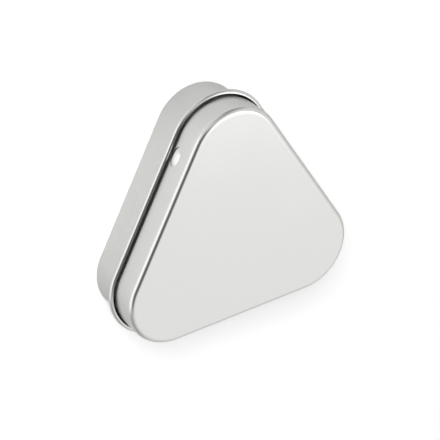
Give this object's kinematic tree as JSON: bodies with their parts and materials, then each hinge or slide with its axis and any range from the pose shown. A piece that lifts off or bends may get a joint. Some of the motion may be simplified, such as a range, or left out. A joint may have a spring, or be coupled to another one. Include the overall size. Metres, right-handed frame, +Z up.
{
  "type": "mint tin",
  "caption": "Pocket tin in the shape of a rounded triangle: a pressed steel lid with a curled rim, hinged on a shallow steel base by a wire pin.",
  "frame": {"origin": "centre of the rounded triangle, on the underside of the base, where the tin rests", "axes": "+Z up through the lid, +Y to the hinge at the back, -Y to the corner that opens, X along the hinge"},
  "size_m": [0.0676, 0.0625, 0.02],
  "materials": {
    "tinplate": "satin tinplate, uncoated, pale silver",
    "wire": "bright drawn steel wire"
  },
  "bodies": {
    "base": {"base": "tinplate", "hinge_pin": "wire"},
    "lid": {"lid": "tinplate"}
  },
  "joints": [
    {"name": "lid_hinge", "type": "hinge", "parent": "base", "child": "lid", "pos_m": [0, 0.02477, 0.0115], "axis": [-1, 0, 0], "range_deg": [0, 180]}
  ]
}
